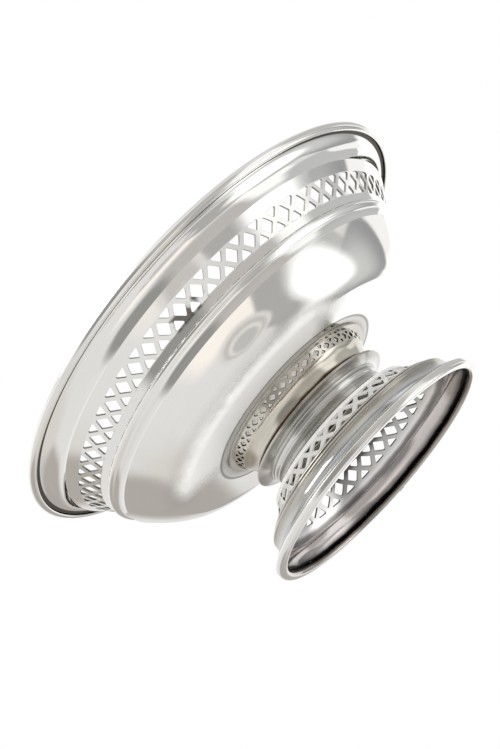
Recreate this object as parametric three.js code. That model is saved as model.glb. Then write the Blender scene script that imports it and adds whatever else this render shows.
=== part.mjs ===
// A footed bonbon dish in silver: a spun bowl with a pierced gallery, carried by a pierced collar
// on a pierced spreading foot. Millimetres, +Z up, origin on the table under the centre of the foot.
// Profiles are half sections given as [radius, height] and turned round the Z axis.
import * as THREE from "three";
import { mergeGeometries } from "three/addons/utils/BufferGeometryUtils.js";

// Overall sizes and the metal
const rimRadius = 62.9; // outside of the rim wire
const footRadius = 34.8; // outside of the foot wire
const bowlSheet = 0.6; // thickness of the bowl's metal
const footSheet = 0.55; // thickness of the foot's metal
const collarSheet = 0.55; // thickness of the collar's metal
const fitGap = 0.1; // slack beside a soldered seat

// Foot, from the table up
const footWireWidth = 2.6;
const footWireHeight = 1.9;
const footWireTopRounding = 0.4;
const footWireFootRounding = 0.8;
const footEdgeInset = 1.45; // from the wire's outside to the outer face of the foot's edge
const footCavettoRise = 4.3;
const footCavettoReach = 2.95; // how far the hollow moulding comes in from the foot's edge
const footCavettoDepth = 0.75; // how far the hollow moulding sinks below a straight chamfer
const footReedRadius = 0.62; // half the width of one of the two reeds
const footReedsRise = 2.1;
const footReedsReach = 2.9;
const reedShares = [0.26, 0.76]; // places of the two reeds on the slope between hollow and band
const footBandRise = 4.6;
const footBandTaper = 4.9; // from the lower edge of the pierced band in to its upper edge
const footLedgeOverhang = 0.2; // thin bright ledge over the pierced band
const footLedgeRise = 0.5;
const neckFlareRise = 3.6;
const neckFlareReach = 4.9;
const neckFlareDepth = 0.6; // how far the flare sinks below a straight cone
const neckRidgeReach = 0.7;
const neckRidgeRise = 1;
const neckGrooveDepth = 0.5;
const neckGrooveRise = 0.9;
const neckShoulderReach = 0.6;
const neckShoulderRise = 0.7;
const discOverhang = 3.1; // thin plate that carries the collar
const discRise = 1.3;
const discEdge = 0.55;

// Collar, standing on the plate
const collarFootInset = 2; // from the edge of the plate to the foot of the wall
const collarWaistDepth = 0.1;
const collarWaistRise = 1.4;
const collarWallReach = 1.7; // from the waist out to the pierced band
const collarWallRise = 3.4;
const collarBandTaper = 0.9;
const collarBandRise = 2.4;
const collarFlangeWidth = 1.6;
const collarFlangeRise = 0.6;
const collarWallDepth = 0.35; // how far the wall sinks below a straight cone

// Bowl, from its underside up
const bowlFlatReach = 12.2; // flat underside from the collar's flange out to the round of the body
const bodyRise = 9.4;
const bodyCornerReach = 5.7; // from there on to the corner that the body rounds off
const cavettoRise = 2.55;
const cavettoReach = 1.2; // from the shoulder of the body out to the top of the hollow moulding
const cavettoOverhang = 0.2; // of the hollow's top over the centre of the bead
const beadRadius = 0.85;
const throatRise = 0.85;
const beadInset = 0.8; // from the throat in to the centre of the bead
const gallerySillRise = 0.8;
const gallerySillReach = 0.2;
const galleryRise = 4.65;
const galleryTaper = 3.1; // from the lower edge of the pierced gallery out to its upper edge
const creaseRise = 2.05;
const creaseReach = 2;
const flareRise = 4.6;
const flareReach = 4.4; // from the crease out to the rim wire

// Rim wire
const rimWireDiameter = 2.2;
const rimLip = 0.7; // how far the bowl's edge reaches into the wire

// Lattices: a row of crossings, with a diamond between two crossings and a triangle over and under each.
// The border is the strip left between a triangle's base and the edge of the band, and startShare says
// how far the first crossing is turned from the -Y side, in periods.
const gallery = {
  periods: 60,
  diamondWidth: 3.6,
  diamondHeight: 4.3,
  triangleBase: 3.4,
  triangleHeight: 2.15,
  border: 0.08,
  startShare: 0,
};
const footBand = {
  periods: 30,
  diamondWidth: 3.5,
  diamondHeight: 4.4,
  triangleBase: 3.2,
  triangleHeight: 2.1,
  border: 0.45,
  startShare: 0.5,
};
const collarBand = {
  periods: 36,
  diamondWidth: 2.2,
  diamondHeight: 1.6,
  triangleBase: 1.9,
  triangleHeight: 0.8,
  border: 0.12,
  startShare: 0.5,
};

// Solder seams
const solderLeg = 0.7; // leg of the fillet in a soldered corner
const rimSolderLeg = 0.45;

// How finely curves are divided
const turnSteps = 60;
const collarTurnSteps = 36;
const bodySteps = 6;
const mouldingSteps = 3;
const wireSteps = 7;

// Heights
const footWireTop = footWireHeight;
const footReedsFoot = footWireTop + footCavettoRise;
const footBandFoot = footReedsFoot + footReedsRise;
const footBandTop = footBandFoot + footBandRise;
const footLedgeTop = footBandTop + footLedgeRise;
const neckWaist = footLedgeTop + neckFlareRise;
const neckRidge = neckWaist + neckRidgeRise;
const neckGroove = neckRidge + neckGrooveRise;
const neckShoulder = neckGroove + neckShoulderRise;
const discTop = neckShoulder + discRise;
const collarWaist = discTop + collarWaistRise;
const collarBandFoot = collarWaist + collarWallRise;
const collarBandTop = collarBandFoot + collarBandRise;
const bowlUnderside = collarBandTop + collarFlangeRise;
const bodyTop = bowlUnderside + bodyRise;
const cavettoTop = bodyTop + cavettoRise;
const beadTop = cavettoTop + 2 * beadRadius;
const throat = beadTop + throatRise;
const galleryFoot = throat + gallerySillRise;
const galleryTop = galleryFoot + galleryRise;
const crease = galleryTop + creaseRise;
const lipUnderside = crease + flareRise;
const lipTop = lipUnderside + bowlSheet;

// Radii of the bowl, from the rim inwards
const rimWireCentreRadius = rimRadius - rimWireDiameter / 2;
const rimWireInnerRadius = rimRadius - rimWireDiameter;
const lipRadius = rimWireInnerRadius + rimLip;
const creaseRadius = rimWireInnerRadius - flareReach;
const galleryTopRadius = creaseRadius - creaseReach;
const galleryFootRadius = galleryTopRadius - galleryTaper;
const throatRadius = galleryFootRadius - gallerySillReach;
const beadCentreRadius = throatRadius - beadInset;
const cavettoRadius = beadCentreRadius + cavettoOverhang;
const bodyRadius = cavettoRadius - cavettoReach;

// Radii of the foot, from its edge in to the neck and out to the plate, and of the collar on the plate
const footEdgeRadius = footRadius - footEdgeInset;
const footCavettoTopRadius = footEdgeRadius - footCavettoReach;
const footBandFootRadius = footCavettoTopRadius - footReedsReach;
const footBandTopRadius = footBandFootRadius - footBandTaper;
const footLedgeRadius = footBandTopRadius + footLedgeOverhang;
const neckWaistRadius = footBandTopRadius - neckFlareReach;
const neckRidgeRadius = neckWaistRadius + neckRidgeReach;
const neckGrooveRadius = neckRidgeRadius - neckGrooveDepth;
const neckShoulderRadius = neckGrooveRadius + neckShoulderReach;
const discRadius = neckShoulderRadius + discOverhang;
const collarFootRadius = discRadius - collarFootInset;
const collarWaistRadius = collarFootRadius - collarWaistDepth;
const collarBandFootRadius = collarWaistRadius + collarWallReach;
const collarBandTopRadius = collarBandFootRadius + collarBandTaper;
const collarFlangeRadius = collarBandTopRadius + collarFlangeWidth;
const bowlFlatRadius = collarFlangeRadius + bowlFlatReach;
const bodyCornerRadius = bowlFlatRadius + bodyCornerReach;

// Points of an elliptical arc, with angles in quarter turns
function arc(centreR, centreZ, reachR, reachZ, fromQuarter, toQuarter, steps) {
  const points = [];
  for (let i = 0; i <= steps; i++) {
    const angle = (Math.PI / 2) * (fromQuarter + ((toQuarter - fromQuarter) * i) / steps);
    points.push([centreR + reachR * Math.cos(angle), centreZ + reachZ * Math.sin(angle)]);
  }
  return points;
}

// Points of a curve that rounds off the corner between two points
function rounding(from, corner, to, steps) {
  const [start, middle, end] = [from, corner, to].map(([r, z]) => new THREE.Vector2(r, z));
  return new THREE.QuadraticBezierCurve(start, middle, end).getPoints(steps).map((p) => [p.x, p.y]);
}

// Points of a curve that leaves a straight line from one point to another by a sag to its left
function sagging(from, to, sag, steps) {
  const [dr, dz] = [to[0] - from[0], to[1] - from[1]];
  const length = Math.hypot(dr, dz);
  const corner = [
    (from[0] + to[0]) / 2 - (2 * sag * dz) / length,
    (from[1] + to[1]) / 2 + (2 * sag * dr) / length,
  ];
  return rounding(from, corner, to, steps);
}

// The same path moved to its left by the thickness of the sheet
function offset(path, distance) {
  return path.map((point, i) => {
    const before = path[Math.max(i - 1, 0)];
    const after = path[Math.min(i + 1, path.length - 1)];
    const inward = direction(before, i > 0 ? point : after);
    const outward = direction(i < path.length - 1 ? point : before, after);
    const sum = [inward[0] + outward[0], inward[1] + outward[1]];
    const size = Math.hypot(...sum);
    const reach = (2 * distance) / size;
    return [point[0] - (sum[1] / size) * reach, point[1] + (sum[0] / size) * reach];
  });
}

function direction(from, to) {
  const length = Math.hypot(to[0] - from[0], to[1] - from[1]);
  return [(to[0] - from[0]) / length, (to[1] - from[1]) / length];
}

// Angle of a place on a lattice, counted in periods from its first crossing
function latticeAngle(lattice, place) {
  return ((place + lattice.startShare) / lattice.periods) * 2 * Math.PI;
}

// Turns a half section round the Z axis, with the facets' corners on the edges of the lattice's periods.
// Sections run anticlockwise, so that their faces look outwards.
function turned(section, lattice, steps) {
  const points = section.map(([r, z]) => new THREE.Vector2(r, z));
  const geometry = new THREE.LatheGeometry(points, steps, latticeAngle(lattice, 0.5));
  geometry.deleteAttribute("normal");
  geometry.deleteAttribute("uv");
  return geometry.rotateX(Math.PI / 2).toNonIndexed();
}

function ring(section, lattice, steps) {
  return turned([...section, section[0]], lattice, steps);
}

// One period of a lattice on a flat plate as wide and high as 1, centred on a crossing, which is cut by
// half a diamond on each side: the outline of its metal, and its holes, all anticlockwise
function latticePeriod(lattice, foot, top, stepsPerPeriod) {
  const pitch = (Math.PI * (foot[0] + top[0])) / lattice.periods;
  const slant = Math.hypot(top[0] - foot[0], top[1] - foot[1]);
  const halfWide = lattice.diamondWidth / 2 / pitch;
  const halfHigh = lattice.diamondHeight / 2 / slant;
  const base = lattice.triangleBase / 2 / pitch;
  const edge = lattice.border / slant;
  const apex = (lattice.border + lattice.triangleHeight) / slant;
  const between = Array.from({ length: stepsPerPeriod - 1 }, (_, i) => (i + 1) / stepsPerPeriod - 0.5);
  const side = [[0.5, 0], [0.5, 0.5 - halfHigh], [0.5 - halfWide, 0.5], [0.5, 0.5 + halfHigh], [0.5, 1]];
  return {
    outline: [
      ...between.map((across) => [across, 0]),
      ...side,
      ...between.map((across) => [-across, 1]),
      ...side.map(([across, up]) => [-across, 1 - up]),
    ],
    triangles: [
      [[-base, edge], [base, edge], [0, apex]],
      [[0, 1 - apex], [base, 1 - edge], [-base, 1 - edge]],
    ],
    diamond: [[0.5 - halfWide, 0.5], [0.5, 0.5 - halfHigh], [0.5 + halfWide, 0.5], [0.5, 0.5 + halfHigh]],
  };
}

// A pierced band of sheet metal: both faces of the lattice, and the walls of its holes
function piercedBand(lattice, outer, inner, steps) {
  const { outline, triangles, diamond } = latticePeriod(lattice, ...outer, steps / lattice.periods);
  const flat = (points) => points.map(([across, up]) => new THREE.Vector2(across, up));
  const corners = [...outline, ...triangles.flat()];
  const facets = THREE.ShapeUtils.triangulateShape(flat(outline), triangles.map(flat));
  const positions = [];
  for (let period = 0; period < lattice.periods; period++) {
    const place = ([across, up], [foot, top]) => {
      const angle = latticeAngle(lattice, period + across) - Math.PI / 2;
      const radius = foot[0] + up * (top[0] - foot[0]);
      return [radius * Math.cos(angle), radius * Math.sin(angle), foot[1] + up * (top[1] - foot[1])];
    };
    for (const [a, b, c] of facets) {
      const [p, q, r] = [corners[a], corners[b], corners[c]];
      positions.push(...place(p, outer), ...place(q, outer), ...place(r, outer));
      positions.push(...place(p, inner), ...place(r, inner), ...place(q, inner));
    }
    for (const hole of [...triangles, diamond]) {
      hole.forEach((from, i) => {
        const to = hole[(i + 1) % hole.length];
        positions.push(...place(from, outer), ...place(to, outer), ...place(to, inner));
        positions.push(...place(from, outer), ...place(to, inner), ...place(from, inner));
      });
    }
  }
  return new THREE.BufferGeometry().setAttribute("position", new THREE.Float32BufferAttribute(positions, 3));
}

// A turned sheet with one pierced band. The section is given in runs, which stop at the band's edges.
function piercedSheet(runs, lattice, outer, inner, steps) {
  return mergeGeometries([
    ...runs.map((run) => turned(run, lattice, steps)),
    piercedBand(lattice, outer, inner, steps),
  ]);
}

// Bowl: round body, hollow moulding, bead, pierced gallery, flare and lip
function bowlGeometry() {
  const body = rounding([bowlFlatRadius, bowlUnderside], [bodyCornerRadius, bowlUnderside],
    [bodyRadius, bodyTop], bodySteps);
  const cavetto = arc(cavettoRadius, bodyTop, cavettoRadius - bodyRadius, cavettoRise, 2, 1, mouldingSteps);
  const bead = arc(beadCentreRadius, cavettoTop + beadRadius, beadRadius, beadRadius, -0.8, 0.55,
    mouldingSteps);
  const throatPoint = [throatRadius, throat];
  const outer = [[galleryFootRadius, galleryFoot], [galleryTopRadius, galleryTop]];
  const flareEnd = lipRadius - rimLip;
  const flare = arc(flareEnd, crease, flareEnd - creaseRadius, flareRise, 2, 1, mouldingSteps);
  const lip = [lipRadius - fitGap, lipUnderside];
  const coarseBody = body.filter((_, i) => i % 2 === 0);
  const within = offset([...coarseBody, throatPoint, ...outer, ...flare, lip], bowlSheet);
  const galleryStart = coarseBody.length + 1;
  const innerBody = within.slice(0, galleryStart + 1);
  const innerFlare = within.slice(galleryStart + 1);
  const runs = [
    [[0, bowlUnderside], ...body, ...cavetto.slice(1, -1), ...bead, throatPoint, outer[0]],
    [outer[1], ...flare, lip, ...innerFlare.toReversed()],
    [...innerBody.toReversed(), [0, bowlUnderside + bowlSheet]],
  ];
  return piercedSheet(runs, gallery, outer, [innerBody.at(-1), innerFlare[0]], turnSteps);
}

// Rim wire: round, with a step in its inner lower quarter that takes the bowl's lip
function rimWireGeometry() {
  const radius = rimWireDiameter / 2;
  const toWall = Math.acos((lipRadius - rimWireCentreRadius) / radius) / (Math.PI / 2);
  const round = arc(rimWireCentreRadius, lipTop, radius, radius, -toWall, 2, wireSteps);
  return ring([[lipRadius, lipTop], ...round], gallery, turnSteps);
}

// Foot wire: flat seat on top for the foot's edge, flat below, with rounded corners
function footWireGeometry() {
  const inner = footRadius - footWireWidth;
  const [low, high] = [footWireFootRounding, footWireTopRounding];
  return ring([
    ...arc(inner + low, low, low, low, -2, -1, 1),
    ...arc(footRadius - low, low, low, low, -1, 0, 2),
    ...arc(footRadius - high, footWireTop - high, high, high, 0, 1, 1),
    ...arc(inner + high, footWireTop - high, high, high, 1, 2, 1),
  ], footBand, turnSteps);
}

// Foot: hollow moulding, two reeds, pierced band, ledge, neck with ridge and groove, and the plate on top
function footGeometry() {
  const cavetto = sagging([footEdgeRadius, footWireTop], [footCavettoTopRadius, footReedsFoot],
    footCavettoDepth, mouldingSteps);
  const reeds = reedShares.flatMap((share) => arc(
    footCavettoTopRadius + (footBandFootRadius - footCavettoTopRadius) * share,
    footReedsFoot + footReedsRise * share,
    footReedRadius, footReedRadius, -0.2, 1.4, 2));
  const outer = [[footBandFootRadius, footBandFoot], [footBandTopRadius, footBandTop]];
  const ledge = [[footLedgeRadius, footLedgeTop]];
  const flare = sagging([footBandTopRadius, footLedgeTop], [neckWaistRadius, neckWaist],
    neckFlareDepth, mouldingSteps).slice(1);
  const neck = [
    [neckRidgeRadius, neckRidge],
    [neckGrooveRadius, neckGroove],
    [neckShoulderRadius, neckShoulder],
  ];
  const plate = [[discRadius, discTop - discEdge], [discRadius, discTop]];
  const innerNeck = neckWaistRadius - footSheet;
  const within = offset([cavetto[0], cavetto[2], ...outer, flare[0], flare.at(-1)], footSheet);
  within[0] = [footEdgeRadius - footSheet, footWireTop];
  const runs = [
    [within[2], within[1], within[0], ...cavetto, ...reeds, outer[0]],
    [outer[1], ...ledge, ...flare, ...neck, ...plate, [innerNeck, discTop], [innerNeck, neckWaist],
      within[4], within[3]],
  ];
  return piercedSheet(runs, footBand, outer, [within[2], within[3]], turnSteps);
}

// Collar: incurved wall, pierced band and the flange under the bowl
function collarGeometry() {
  const outer = [[collarBandFootRadius, collarBandFoot], [collarBandTopRadius, collarBandTop]];
  const foot = [collarFootRadius, discTop];
  const waist = [collarWaistRadius, collarWaist];
  const wall = sagging(waist, outer[0], collarWallDepth, mouldingSteps).slice(0, -1);
  const within = offset([foot, ...wall, ...outer], collarSheet);
  within[0] = [collarFootRadius - collarSheet, discTop];
  const innerTop = within.pop();
  const flange = [[collarFlangeRadius, bowlUnderside - collarSheet], [collarFlangeRadius, bowlUnderside]];
  const runs = [
    [...within.toReversed(), foot, ...wall, outer[0]],
    [outer[1], ...flange, [innerTop[0], bowlUnderside], innerTop],
  ];
  return piercedSheet(runs, collarBand, outer, [within.at(-1), innerTop], collarTurnSteps);
}

// A three-sided fillet of solder in a corner, with its legs running from the corner
function filletGeometry([cornerR, cornerZ], legR, legZ, lattice, steps) {
  const section = [[cornerR, cornerZ], [cornerR + legR, cornerZ], [cornerR, cornerZ + legZ]];
  return ring(legR * legZ > 0 ? section : section.toReversed(), lattice, steps);
}

const silver = { color: 0xd9d7d0, metalness: 1, roughness: 0.16 };
const solder = { color: 0xb4b0a6, metalness: 1, roughness: 0.42 };
const dish = new THREE.Group();

function add(name, geometry, look) {
  const mesh = new THREE.Mesh(geometry, new THREE.MeshStandardMaterial(look));
  mesh.name = name;
  dish.add(mesh);
}

add("bowl", bowlGeometry(), silver);
add("bowl_rim_wire", rimWireGeometry(), silver);
add("pierced_collar", collarGeometry(), silver);
add("foot", footGeometry(), silver);
add("foot_rim_wire", footWireGeometry(), silver);

// Solder in the four joints
add("rim_wire_solder",
  filletGeometry([rimWireInnerRadius - fitGap, lipTop], -rimSolderLeg, rimSolderLeg, gallery, turnSteps),
  solder);
add("collar_top_solder",
  filletGeometry([collarBandTopRadius - collarSheet - fitGap, bowlUnderside], -solderLeg, -solderLeg,
    collarBand, collarTurnSteps),
  solder);
add("collar_foot_solder",
  filletGeometry([collarFootRadius - collarSheet - fitGap, discTop], -solderLeg, solderLeg,
    collarBand, collarTurnSteps),
  solder);
add("foot_wire_solder",
  filletGeometry([footEdgeRadius + fitGap, footWireTop], solderLeg, solderLeg, footBand, turnSteps),
  solder);

export default dish;
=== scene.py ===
"""A footed bonbon dish in polished silver, seen from below.

Metres, +Z up. Every piece is turned from a half section of (radius, height) points that starts from the
sizes of the fixed frame. Sections run anticlockwise, so that the metal is on their left. A pierced band
is one period of a lattice, repeated round the dish.
"""

import math
from collections import namedtuple

import bmesh
import bpy
import numpy as np
from mathutils import Matrix, Vector
from mathutils.geometry import delaunay_2d_cdt


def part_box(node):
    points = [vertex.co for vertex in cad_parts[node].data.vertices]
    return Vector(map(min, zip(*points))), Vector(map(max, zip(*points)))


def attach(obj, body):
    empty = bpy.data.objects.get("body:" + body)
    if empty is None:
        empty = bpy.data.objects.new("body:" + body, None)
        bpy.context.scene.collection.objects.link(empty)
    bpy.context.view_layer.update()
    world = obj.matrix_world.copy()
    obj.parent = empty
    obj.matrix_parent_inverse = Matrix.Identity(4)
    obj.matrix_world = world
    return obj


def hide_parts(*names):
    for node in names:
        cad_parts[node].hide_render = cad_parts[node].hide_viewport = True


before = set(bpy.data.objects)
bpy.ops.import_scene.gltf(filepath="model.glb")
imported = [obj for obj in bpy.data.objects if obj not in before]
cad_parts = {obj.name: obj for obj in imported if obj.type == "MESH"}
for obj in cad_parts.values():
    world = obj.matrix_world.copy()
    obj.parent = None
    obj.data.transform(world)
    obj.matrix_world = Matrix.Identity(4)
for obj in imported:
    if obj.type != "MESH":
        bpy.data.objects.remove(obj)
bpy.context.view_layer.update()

# Sizes that the frame gives
rim_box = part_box("bowl_rim_wire")
RIM_RADIUS = rim_box[1].x
RIM_HEIGHT = (rim_box[0].z + rim_box[1].z) / 2
FOOT_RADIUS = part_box("foot_rim_wire")[1].x
FOOT_WIRE_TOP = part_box("foot_rim_wire")[1].z
FOOT_EDGE_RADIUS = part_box("foot")[1].x
DISC_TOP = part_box("foot")[1].z
FLANGE_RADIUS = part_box("pierced_collar")[1].x
BOWL_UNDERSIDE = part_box("bowl")[0].z

# Metal
BOWL_SHEET = 0.0006
FOOT_SHEET = 0.00055
COLLAR_SHEET = 0.00055
FIT_GAP = 0.0001
CORNER_RADIUS = 0.00012
CORNER_SHARE = 0.45  # the most that a rounded corner takes of the lines beside it

# Foot, from its edge up
FOOT_WIRE_WIDTH = 0.0026
FOOT_WIRE_TOP_ROUNDING = 0.0004
FOOT_WIRE_FOOT_ROUNDING = 0.0008
FOOT_CAVETTO_RISE = 0.0043
FOOT_CAVETTO_REACH = 0.00295
FOOT_CAVETTO_DEPTH = 0.00075
FOOT_REED_RADIUS = 0.00062
FOOT_REEDS_RISE = 0.0021
FOOT_REEDS_REACH = 0.0029
REED_SHARES = (0.26, 0.76)
REED_ARC = (-0.3, 1.5)  # in quarter turns
FOOT_BAND_RISE = 0.0046
FOOT_BAND_TAPER = 0.0049
FOOT_LEDGE_OVERHANG = 0.0002
FOOT_LEDGE_RISE = 0.0005
NECK_FLARE_RISE = 0.0036
NECK_FLARE_REACH = 0.0049
NECK_FLARE_DEPTH = 0.0006
NECK_RIDGE_REACH = 0.00055
NECK_RIDGE_RISE = 0.001
NECK_GROOVE_DEPTH = 0.0002
NECK_GROOVE_RISE = 0.0009
NECK_SHOULDER_REACH = 0.00045
NECK_SHOULDER_RISE = 0.0007
NECK_START = -4  # the flare's point at which the neck's curve takes over
DISC_OVERHANG = 0.0031
DISC_EDGE = 0.00055

# Collar, standing on the foot's plate
COLLAR_FOOT_INSET = 0.002
COLLAR_WAIST_DEPTH = 0.0001
COLLAR_WAIST_RISE = 0.0014
COLLAR_WALL_REACH = 0.0017
COLLAR_WALL_RISE = 0.0034
COLLAR_WALL_DEPTH = 0.00035
COLLAR_BAND_TAPER = 0.0009
COLLAR_BAND_RISE = 0.0024

# Bowl, from its underside up
FLAT_REACH = 0.0122
BODY_CORNER_REACH = 0.0057
CAVETTO_RISE = 0.00255
CAVETTO_REACH = 0.0012
CAVETTO_OVERHANG = 0.0002
BEAD_RADIUS = 0.00085
BEAD_ARC = (-0.9, 0.55)  # in quarter turns
THROAT_RISE = 0.00085
BEAD_INSET = 0.0008
SILL_RISE = 0.0008
SILL_REACH = 0.0002
GALLERY_RISE = 0.00465
GALLERY_TAPER = 0.0031
CREASE_RISE = 0.00205
CREASE_REACH = 0.002
FLARE_RISE = 0.0046
FLARE_REACH = 0.0044
RIM_WIRE = 0.0022
RIM_LIP = 0.0007

# Solder seams
SOLDER_LEG = 0.0007
RIM_SOLDER_LEG = 0.00045
SOLDER_HOLLOW = 1 / 8  # of the width of a fillet's face

# Slots of the record
SILVER = "polished_silver"
SOLDER = "silver_solder"

# Each lattice has a row of crossings, with a diamond between two crossings and a triangle over and under
# each. The border is the strip between a triangle's base and the edge of the band, start says how far the
# first crossing is turned from the -Y side, in periods, and rounding is the radius of the holes' corners.
Lattice = namedtuple("Lattice", "periods steps diamond triangle border start rounding")
GALLERY = Lattice(60, 5, (0.0036, 0.0043), (0.0034, 0.00215), 0.00014, 0, 0.0003)
FOOT_BAND = Lattice(30, 9, (0.0035, 0.0044), (0.0032, 0.0021), 0.00045, 0.5, 0.0003)
COLLAR_BAND = Lattice(36, 7, (0.0022, 0.0016), (0.0019, 0.0008), 0.00018, 0.5, 0.0002)
HOLE_EDGE_ROUNDING = 0.00006

# How finely things are divided
SMOOTH_TURN = math.radians(9)
LONGEST_STEP = 0.001
BODY_STEPS = 44
MOULDING_STEPS = 16
NECK_STEPS = 8
BEAD_STEPS = 28
WIRE_STEPS = 36
HOLE_STEP = 0.0005
HOLE_CORNER_STEPS = 4
WELD = 1e-6
CDT_SCALE = 1000  # the triangulation works on millimetres

# Recesses gather tarnish: how far round a point they are looked for, and what they are on a lattice
RECESS_REACH = 0.0016
FACE_RECESS = 0.03
WALL_RECESS = 0.3

# Camera, from a fit of the dish's circles to the photograph
VIEW_ELEVATION = math.radians(-17.995)
VIEW_ROLL = math.radians(-48.47)
VIEW_DISTANCE = 0.36653
VIEW_SHIFT = (0.00803, -0.01136)
PHOTO_HEIGHT = 749
FOCAL_PIXELS = 1447.6
SENSOR = 36

# Floor and lamp
FLOOR_SIZE = 20
FLOOR_COLOUR = (0.8, 0.8, 0.79, 1)
LAMP_PLACE = (-0.5, -0.4, 1.1)
LAMP_SIZE = 0.7
LAMP_POWER = 4


def left_of(vectors):
    """The unit vector to the left of a vector, or of each row."""
    vectors = np.asarray(vectors, float)
    turned = np.stack([-vectors[..., 1], vectors[..., 0]], -1)
    return turned / np.linalg.norm(turned, axis=-1, keepdims=True)


def arc(centre, reach, start, end, steps):
    """Points of an elliptical arc, with its angles in quarter turns."""
    angles = np.linspace(start, end, steps + 1) * math.pi / 2
    return [(centre[0] + reach[0] * math.cos(a), centre[1] + reach[1] * math.sin(a)) for a in angles]


def bend(start, corner, end, steps):
    """Points of a curve that rounds off the corner between two points."""
    shares = np.linspace(0, 1, steps + 1)[:, None]
    weights = (1 - shares) ** 2, 2 * shares * (1 - shares), shares**2
    return list(sum(weight * np.array(point) for weight, point in zip(weights, (start, corner, end))))


def sagging(start, end, sag, steps):
    """Points of a curve that leaves a straight line by a sag to its left."""
    start, end = np.array(start), np.array(end)
    return bend(start, (start + end) / 2 + 2 * sag * left_of(end - start), end, steps)


def softened(points, steps):
    """A smooth curve that starts and ends with the points and only leans towards those between."""
    points = np.array(points)
    middles = [points[0], *((points[1:-2] + points[2:-1]) / 2), points[-1]]
    path = [middles[0]]
    for start, corner, end in zip(middles, points[1:-1], middles[1:]):
        path += bend(start, corner, end, steps)[1:]
    return path


def offset(path, distance):
    """The same path moved to its left, with mitred corners."""
    path = np.array(path)
    sides = left_of(np.diff(path, axis=0))
    middle = np.vstack([sides[:1], sides]) + np.vstack([sides, sides[-1:]])
    return list(path + 2 * distance * middle / (middle**2).sum(1, keepdims=True))


def divided(path, longest, whole=()):
    """The same path with its long stretches divided, apart from those that stay whole."""
    points = [np.array(path[0])]
    for start, end in zip(path, path[1:]):
        kept = any(np.allclose(start, a) and np.allclose(end, b) for a, b in whole)
        pieces = 1 if kept else max(1, math.ceil(math.dist(start, end) / longest))
        way = np.array(end) - np.array(start)
        points += [np.array(start) + way * (i + 1) / pieces for i in range(pieces)]
    return points


def rounded(path, radius, closed, corner_steps=None):
    """Rounds the corners of a path. Gives the points, their normals to the right, and for each point the
    number of the path's point that it comes from."""
    path = np.array(path, float)
    count = len(path)
    ahead = np.roll(path, -1, 0) - path
    lengths = np.linalg.norm(ahead, axis=1)
    ways = ahead / lengths[:, None]
    points, normals, sources = [], [], []

    def keep(point, way, source):
        points.append(point)
        normals.append(-left_of(way))
        sources.append(source)

    for i in range(count):
        if not closed and i in (0, count - 1):
            keep(path[i], ways[min(i, count - 2)], i)
            continue
        before, after = ways[i - 1], ways[i]
        turn = math.atan2(before[0] * after[1] - before[1] * after[0], before @ after)
        if abs(turn) < SMOOTH_TURN:
            keep(path[i], before * lengths[i] + after * lengths[i - 1], i)
            continue
        room = CORNER_SHARE * min(lengths[i - 1], lengths[i])
        trim = min(radius * math.tan(abs(turn) / 2), room)
        spoke = math.copysign(trim / math.tan(abs(turn) / 2), turn)
        centre = path[i] - before * trim + spoke * left_of(before)
        steps = corner_steps or math.ceil(abs(turn) / SMOOTH_TURN)
        for k in range(steps + 1):
            cos, sin = math.cos(turn * k / steps), math.sin(turn * k / steps)
            way = np.array([before[0] * cos - before[1] * sin, before[0] * sin + before[1] * cos])
            keep(centre - spoke * left_of(way), way, i)
    return np.array(points), np.array(normals), np.array(sources)


def lattice_angle(lattice, place):
    """Angle of a place on a lattice, counted in periods from its first crossing."""
    return (np.asarray(place) + lattice.start) / lattice.periods * 2 * math.pi - math.pi / 2


def turned(radial, upward, angles, sideways=0):
    """Points or vectors of a half section turned to angles."""
    return np.stack([
        radial * np.cos(angles) - sideways * np.sin(angles),
        radial * np.sin(angles) + sideways * np.cos(angles),
        upward + 0 * angles,
    ], -1)


class Skin:
    """The surface of one piece, gathered in parts that meet at their edges."""

    def __init__(self):
        self.places, self.normals, self.recess, self.faces = [], [], [], []
        self.count = 0

    def add(self, places, normals, recess, faces):
        self.faces += [[self.count + i for i in face] for face in faces]
        self.places.append(places)
        self.normals.append(normals)
        self.recess.append(recess)
        self.count += len(places)

    def mesh(self, name):
        """One closed mesh, with the normals of its form rather than of its facets."""
        mesh = bpy.data.meshes.new(name)
        mesh.from_pydata(np.vstack(self.places).tolist(), [], self.faces)
        form = mesh.attributes.new("form_normal", "FLOAT_VECTOR", "POINT")
        form.data.foreach_set("vector", np.vstack(self.normals).ravel())
        recess = mesh.attributes.new("recess", "FLOAT", "POINT")
        recess.data.foreach_set("value", np.concatenate(self.recess))
        welded = bmesh.new()
        welded.from_mesh(mesh)
        bmesh.ops.remove_doubles(welded, verts=welded.verts, dist=WELD)
        for face in welded.faces:
            face.smooth = True
        welded.to_mesh(mesh)
        welded.free()
        normals = np.zeros(len(mesh.vertices) * 3)
        mesh.attributes["form_normal"].data.foreach_get("vector", normals)
        mesh.attributes.remove(mesh.attributes["form_normal"])
        mesh.normals_split_custom_set_from_vertices(normals.reshape(-1, 3).tolist())
        return mesh


def add_turned(skin, points, normals, recess, lattice):
    """Turns a run of a half section, with its steps on the edges of the lattice's periods."""
    steps = lattice.periods * lattice.steps
    angles = lattice_angle(lattice, np.arange(steps) / lattice.steps - 0.5)[None, :]
    places = turned(points[:, :1], points[:, 1:], angles).reshape(-1, 3)
    ways = turned(normals[:, :1], normals[:, 1:], angles).reshape(-1, 3)
    faces = []
    for low in range(0, (len(points) - 1) * steps, steps):
        for j in range(steps):
            k = (j + 1) % steps
            faces.append((low + j, low + k, low + steps + k, low + steps + j))
    skin.add(places, ways, np.repeat(recess, steps), faces)


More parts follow.
